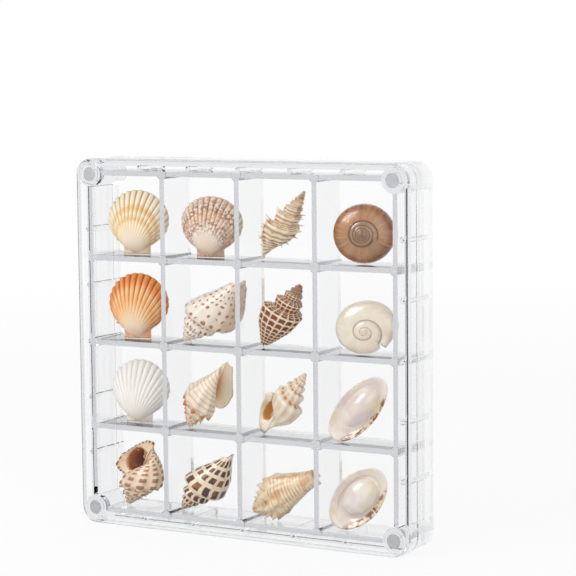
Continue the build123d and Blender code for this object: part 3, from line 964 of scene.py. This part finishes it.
def brown_moon_paint():
    """Caramel outside and purple-grey within, with a dark seam."""
    paint = Paint("brown_moon")
    turn, side = paint.stored("growth"), paint.stored("side")
    cloud = paint.noise(160, 3)
    lines = paint.noise(1.0, 3, 0.6, paint.point(turn * 70, side * 4))
    stops = [
        (0.0, (0.70, 0.48, 0.29)), (0.2, (0.72, 0.51, 0.32)),
        (0.3, (0.60, 0.43, 0.29)), (0.4, (0.55, 0.41, 0.30)),
    ]
    stops += [(0.7, (0.58, 0.45, 0.34)), (1.0, (0.48, 0.34, 0.24))]
    colour = paint.ramp(turn / 3.4 + (cloud - 0.5) * 0.05, *stops)
    colour = paint.blend(lines.step(0.40, 0.62) * 0.75, colour, (0.54, 0.32, 0.17))
    pale = 1 - ((side - 0.32) * 12).math("ABSOLUTE").step(0.2, 1.0)
    colour = paint.blend(pale * 0.25, colour, (0.88, 0.76, 0.62))
    seam = 1 - ((side - 0.262) * (52 - turn.step(0.7, 1.5) * 24)).math("ABSOLUTE").step(0.2, 1.0)
    colour = paint.blend(seam * 0.85, colour, (0.34, 0.22, 0.15))
    paint.set(Base_Color=colour, Roughness=cloud * 0.12 + 0.2, Coat_Weight=0.6, Coat_Roughness=0.1)
    paint.bump(lines, 0.00012, 0.25)
    return paint.material


def pearl_moon_paint():
    """Creamy pearl with a tan blotch by the seam."""
    paint = Paint("pearl_moon")
    turn, side = paint.stored("growth"), paint.stored("side")
    cloud = paint.noise(120, 3)
    lines = paint.noise(1.0, 3, 0.5, paint.point(turn * 40, side * 4))
    stops = [(0.3, (0.90, 0.84, 0.76)), (0.5, (0.94, 0.90, 0.84)), (0.7, (0.93, 0.86, 0.77))]
    colour = paint.ramp(cloud, *stops)
    colour = paint.blend(lines.step(0.5, 0.75) * 0.3, colour, (0.90, 0.82, 0.71))
    seam = 1 - ((side - 0.225) * 75).math("ABSOLUTE").step(0.2, 1.0)
    colour = paint.blend(seam * 0.7, colour, (0.62, 0.50, 0.40))
    colour = paint.blend(turn.step(1.2, 2.6) * 0.35, colour, (0.86, 0.76, 0.64))
    paint.set(Base_Color=colour, Roughness=cloud * 0.12 + 0.16, Coat_Weight=0.7, Coat_Roughness=0.08)
    paint.bump(lines, 0.0001, 0.2)
    return paint.material


moons = [
    Moon("brown_moon_snail", 16.2, 0.70, -31, brown_moon_paint(), even=1.0, closes=1.0, whorls=9),
    Moon("pearl_moon_snail", 14.5, 0.43, -40, pearl_moon_paint(), even=0.2, tuck=0.36),
]
for moon in moons:
    moon_snail(moon)

# %% [markdown]
# ## Blister pearls
#
# Half an oyster shell with a pearl grown to its inner face. One profile runs from the middle of the back
# out to the rim, over it, down into the hollow and up over the pearl. The grid carries it round, stretched
# to an oval, with a little unevenness that a real shell has.


# %% Blister pearls
@dataclass
class Bowl:
    """An oval half shell: its sizes, and the pearl's, and where the pearl lies in it."""

    node: str
    width: float
    length: float
    depth: float
    lean: float
    pearl: tuple
    rise: float
    shift: tuple
    groove: float
    soft: float
    paint: object


BOWL_SPOKES = 120
BOWL_ROWS = 74
PEARL_ROWS = 44
BOWL_WOBBLE = 0.03


def bowl_profile(bowl):
    """Shares of the rim's oval and depths, from the middle of the back to the top of the pearl."""
    outer = [(share, -fall * bowl.depth) for share, fall in ((0, 1), (0.45, 0.88), (0.8, 0.55), (0.97, 0.12))]
    rim = [(1, 0), (0.985, 0.35), (0.955, 0.1)]
    hollow = [(0.86, -0.9), (0.74, -1.7)]
    return outer + rim + hollow


def bowl_rule(bowl, rows, pearl_rows):
    """Where a column and a row of the grid lie on the half shell or its pearl."""
    points = [Vector((share * 10, level)) for share, level in bowl_profile(bowl)]
    profile = curve_through(points, rows - pearl_rows)
    last = profile[-1]
    foot = last.y + 0.2

    def rule(column, row):
        angle = tau * column / BOWL_SPOKES
        uneven = 1 + BOWL_WOBBLE * noise.noise(Vector((cos(angle) * 1.3, sin(angle) * 1.3, bowl.width)))
        if row <= rows - pearl_rows:
            share, level = profile[row].x / 10, profile[row].y
            ripple = 0.05 * sin(34 * share) * smooth(share, 0.5, 1)
            x, z = share * uneven * bowl.width / 2 * cos(angle), share * uneven * bowl.length / 2 * sin(angle)
            return Vector((x, -level - ripple, z)), row / rows, column / BOWL_SPOKES
        climb = (row - rows + pearl_rows) / pearl_rows
        edge = Vector((last.x / 10 * bowl.width / 2 * cos(angle), last.x / 10 * bowl.length / 2 * sin(angle)))
        pearl = Vector((bowl.pearl[0] / 2 * cos(angle), bowl.pearl[1] / 2 * sin(angle)))
        middle = Vector(bowl.shift)
        if climb < 0.2:
            spot = edge.lerp(middle + pearl, climb / 0.2)
            level = foot - bowl.groove * sin(pi * climb / 0.2) - 0.2 * (1 - climb / 0.2)
        else:
            tip = (climb - 0.2) / 0.8 * pi / 2
            spot = middle + pearl * cos(tip)
            level = foot + bowl.rise * sin(tip) ** bowl.soft
        return Vector((spot.x, -level, spot.y)), row / rows, column / BOWL_SPOKES

    return rule


def half_shell(bowl):
    """One half shell with its pearl."""
    bm = bmesh.new()
    bend_grid(bm, BOWL_SPOKES, BOWL_ROWS, bowl_rule(bowl, BOWL_ROWS, PEARL_ROWS))
    bmesh.ops.remove_doubles(bm, verts=bm.verts, dist=0.0005)
    bmesh.ops.recalc_face_normals(bm, faces=bm.faces)
    lean = Matrix.Rotation(radians(12), 3, "Z") @ Matrix.Rotation(radians(bowl.lean), 3, "Y")
    bmesh.ops.rotate(bm, verts=bm.verts, matrix=lean)
    settle(bm, bowl.node)
    return show(bm, bowl.node, bowl.paint)


def nacre(name, sheen, rim):
    """Mother of pearl: creamy white that drifts to pink and grey, with a fine grain and a brown edge."""
    paint = Paint(name)
    row, side = paint.stored("growth"), paint.stored("side")
    cloud = paint.noise(70, 2)
    fine = paint.noise(260, 2)
    stops = [(0.3, (0.95, 0.88, 0.76)), (0.45, (0.97, 0.94, 0.90)), (0.6, sheen), (0.75, (0.96, 0.90, 0.80))]
    colour = paint.ramp(cloud, *stops)
    foot = row.step(0.34, 0.42) * (1 - row.step(0.47, 0.56))
    colour = paint.blend(foot * 0.3, colour, (0.86, 0.78, 0.68))
    flecks = paint.blend(fine.step(0.42, 0.58), rim, (0.93, 0.86, 0.74))
    low_edge = (side + 0.03).wave(1) ** 4 * (1 - row.step(0.36, 0.44)) * row.step(0.12, 0.18)
    colour = paint.blend(low_edge.step(0.2, 0.5), colour, flecks)
    back = 1 - row.step(0.1, 0.2)
    colour = paint.blend(back * 0.8, colour, paint.blend(fine.step(0.4, 0.6), rim, (0.84, 0.74, 0.62)))
    paint.set(Base_Color=colour, Roughness=fine * 0.1 + 0.14, Coat_Weight=1.0, Coat_Roughness=0.1)
    paint.bump(cloud + fine * 0.3, 0.0002, 0.2)
    return paint.material


upper = nacre("nacre_upper", (0.92, 0.86, 0.85), (0.58, 0.40, 0.24))
lower = nacre("nacre_lower", (0.93, 0.87, 0.86), (0.60, 0.42, 0.28))
bowls = [
    Bowl("blister_pearl_upper", 22, 44.3, 8, 41, (14.5, 27), 5.4, (0.0, 1.5), 0.0, 1.7, upper),
    Bowl("blister_pearl_lower", 25.4, 41, 8, 41, (16.5, 23), 5.4, (0.0, 1.0), 0.8, 1.2, lower),
]
for bowl in bowls:
    half_shell(bowl)

# %% [markdown]
# ## Studio
#
# A pale floor carries the case and keeps its shadow, and the room round it is plain white. Two wide soft
# lamps give the shells a light side and a shaded side without hard edges.

# %% Floor, room and lamps
FLOOR_SIZE = 6.0
FLOOR_NEAR = 0.35
FLOOR_FAR = 1.6
ROOM_LIGHT = 0.55
KEY_POWER = 7.8
FILL_POWER = 3.0


def floor_finish():
    """Pale matt floor that fades into the white room away from the case."""
    paint = Paint("floor")
    grain = paint.noise(8, 3)
    paint.set(Base_Color=paint.blend(grain, (0.96, 0.96, 0.96), (0.975, 0.975, 0.975)), Roughness=0.55)
    white = paint.add("ShaderNodeEmission", None, {"Color": (1.0, 1.0, 1.0), "Strength": 1.0})
    reach = paint.add("ShaderNodeVectorMath", {"operation": "LENGTH"}, {0: paint.place()}, "Value")
    seen = paint.add("ShaderNodeLightPath", output="Is Camera Ray")
    glossy = paint.add("ShaderNodeLightPath", output="Is Glossy Ray")
    through = paint.add("ShaderNodeLightPath", output="Is Transmission Ray")
    shown = seen.math("MAXIMUM", glossy).math("MAXIMUM", through)
    fade = (reach.step(FLOOR_NEAR, FLOOR_FAR) * 0.12 + 0.88) * shown
    matt = Value(paint, paint.surface.outputs[0])
    mixed = paint.add("ShaderNodeMixShader", None, {0: fade, 1: matt, 2: white})
    paint.feed(paint.output.inputs["Surface"], mixed)
    return paint.material


def studio_floor():
    """A wide square under the case."""
    bm = bmesh.new()
    bmesh.ops.create_grid(bm, x_segments=1, y_segments=1, size=FLOOR_SIZE / 2)
    mesh = bpy.data.meshes.new("floor")
    bm.to_mesh(mesh)
    bm.free()
    mesh.materials.append(floor_finish())
    ground = bpy.data.objects.new("floor", mesh)
    bpy.context.scene.collection.objects.link(ground)


def room():
    """White to the camera, to gloss and through the plastic, and a plain light level to all else."""
    world = bpy.data.worlds.new("room")
    world.use_nodes = True
    bpy.context.scene.world = world
    tree = world.node_tree
    background = tree.nodes["Background"]
    background.inputs["Color"].default_value = (1, 1, 1, 1)
    rays = tree.nodes.new("ShaderNodeLightPath")
    level = None
    for ray in ("Is Camera Ray", "Is Glossy Ray", "Is Transmission Ray"):
        most = tree.nodes.new("ShaderNodeMath")
        most.operation = "MAXIMUM"
        most.inputs[1].default_value = ROOM_LIGHT
        tree.links.new(rays.outputs[ray], most.inputs[0])
        if level:
            tree.links.new(level.outputs[0], most.inputs[1])
        level = most
    tree.links.new(level.outputs[0], background.inputs["Strength"])


def lamp(name, power, size, place, target):
    """A square soft lamp that faces a point."""
    light = bpy.data.lights.new(name, "AREA")
    light.energy = power
    light.size = size
    lit = bpy.data.objects.new(name, light)
    lit.location = place
    lit.rotation_euler = (Vector(target) - Vector(place)).to_track_quat("-Z", "Y").to_euler()
    bpy.context.scene.collection.objects.link(lit)


bpy.context.scene.view_settings.view_transform = "Standard"
studio_floor()
room()
middle = (0, 0, 0.105)
lamp("key", KEY_POWER, 0.7, (-0.55, -0.9, 0.95), middle)
lamp("fill", FILL_POWER, 0.9, (0.9, -0.7, 0.4), middle)
print("studio ready")
